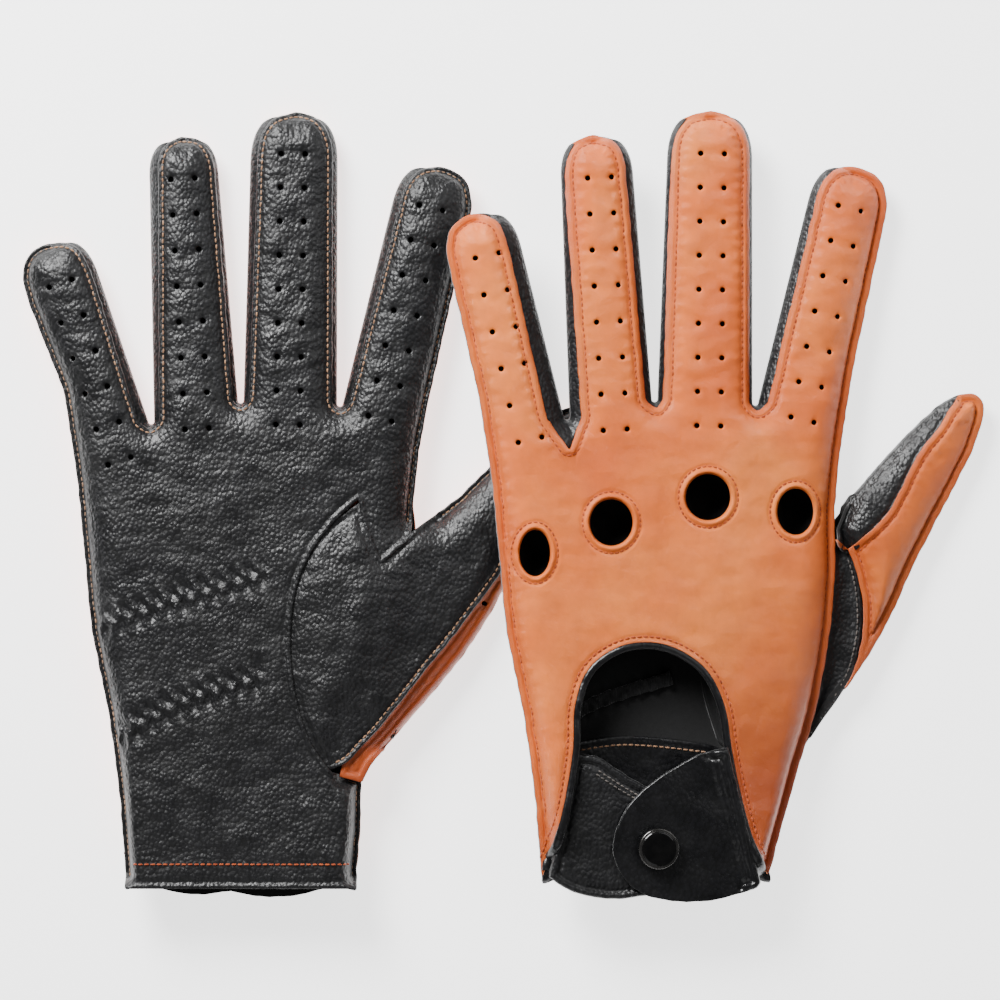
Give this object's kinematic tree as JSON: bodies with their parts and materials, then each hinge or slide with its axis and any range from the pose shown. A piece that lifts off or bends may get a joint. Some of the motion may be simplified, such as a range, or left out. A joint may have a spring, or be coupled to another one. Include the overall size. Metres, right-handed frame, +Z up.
{
  "type": "leather driving gloves",
  "caption": "Pair of perforated leather driving gloves, tan backs and black palms, with knuckle holes and a snap tab over an arched opening at the wrist.",
  "frame": {"origin": "middle of the pair's footprint, on the table", "axes": "+X from the right glove towards the left glove, +Y towards the fingertips, +Z up from the table"},
  "size_m": [0.2986, 0.244, 0.0283],
  "materials": {
    "tan_leather": "smooth semi-matt nappa",
    "black_leather": "pebbled grain, soft sheen",
    "elastic": "woven elastic tape",
    "snap_metal": "gloss black lacquer"
  },
  "bodies": {
    "right_glove": {"right_back_panel": "tan_leather", "right_palm_panel": "black_leather", "right_fourchette_pinky_ring": "black_leather", "right_fourchette_ring_middle": "black_leather", "right_fourchette_middle_index": "black_leather", "right_thumb_back": "tan_leather", "right_thumb_front": "black_leather", "right_thumb_gusset": "black_leather", "right_aperture_binding": "black_leather", "right_knuckle_facing_pinky": "tan_leather", "right_knuckle_facing_ring": "tan_leather", "right_knuckle_facing_middle": "tan_leather", "right_knuckle_facing_index": "tan_leather", "right_wrist_facing": "black_leather", "right_palm_elastic_upper": "elastic", "right_palm_elastic_lower": "elastic"},
    "right_over_tab": {"right_over_tab": "black_leather", "right_over_tab_lining": "black_leather", "right_snap_cap": "snap_metal", "right_snap_socket": "snap_metal"},
    "right_under_tab": {"right_under_tab": "black_leather", "right_under_tab_lining": "black_leather", "right_snap_stud": "snap_metal", "right_snap_post": "snap_metal"},
    "left_glove": {"left_back_panel": "tan_leather", "left_palm_panel": "black_leather", "left_fourchette_pinky_ring": "black_leather", "left_fourchette_ring_middle": "black_leather", "left_fourchette_middle_index": "black_leather", "left_thumb_back": "tan_leather", "left_thumb_front": "black_leather", "left_thumb_gusset": "black_leather", "left_aperture_binding": "black_leather", "left_knuckle_facing_pinky": "tan_leather", "left_knuckle_facing_ring": "tan_leather", "left_knuckle_facing_middle": "tan_leather", "left_knuckle_facing_index": "tan_leather", "left_wrist_facing": "black_leather", "left_palm_elastic_upper": "elastic", "left_palm_elastic_lower": "elastic"},
    "left_over_tab": {"left_over_tab": "black_leather", "left_over_tab_lining": "black_leather", "left_snap_cap": "snap_metal", "left_snap_socket": "snap_metal"},
    "left_under_tab": {"left_under_tab": "black_leather", "left_under_tab_lining": "black_leather", "left_snap_stud": "snap_metal", "left_snap_post": "snap_metal"}
  },
  "joints": [
    {"name": "left_glove_lift", "type": "slide", "parent": "right_glove", "child": "left_glove", "axis": [0, 0, 1], "range_m": [0, 0.12]},
    {"name": "left_over_tab_hinge", "type": "hinge", "parent": "left_glove", "child": "left_over_tab", "pos_m": [0.07159, -0.09547, 0.02277], "axis": [-0.2583, 0.9656, 0.0285], "range_deg": [0, 150]},
    {"name": "left_under_tab_hinge", "type": "hinge", "parent": "left_glove", "child": "left_under_tab", "pos_m": [0.02095, -0.09497, 0.02836], "axis": [-0.1974, -0.9801, 0.0218], "range_deg": [0, 40]},
    {"name": "right_over_tab_hinge", "type": "hinge", "parent": "right_glove", "child": "right_over_tab", "pos_m": [-0.05775, -0.09554, 0.00155], "axis": [0.2599, -0.9651, 0.0334], "range_deg": [0, 150]},
    {"name": "right_under_tab_hinge", "type": "hinge", "parent": "right_glove", "child": "right_under_tab", "pos_m": [-0.1087, -0.09504, 0.00153], "axis": [0.1986, 0.9795, -0.0339], "range_deg": [0, 40]}
  ],
  "couplings": [
    {"joint": "left_under_tab_hinge", "follows": "left_over_tab_hinge", "ratio": 0.25},
    {"joint": "right_under_tab_hinge", "follows": "right_over_tab_hinge", "ratio": 0.25}
  ]
}
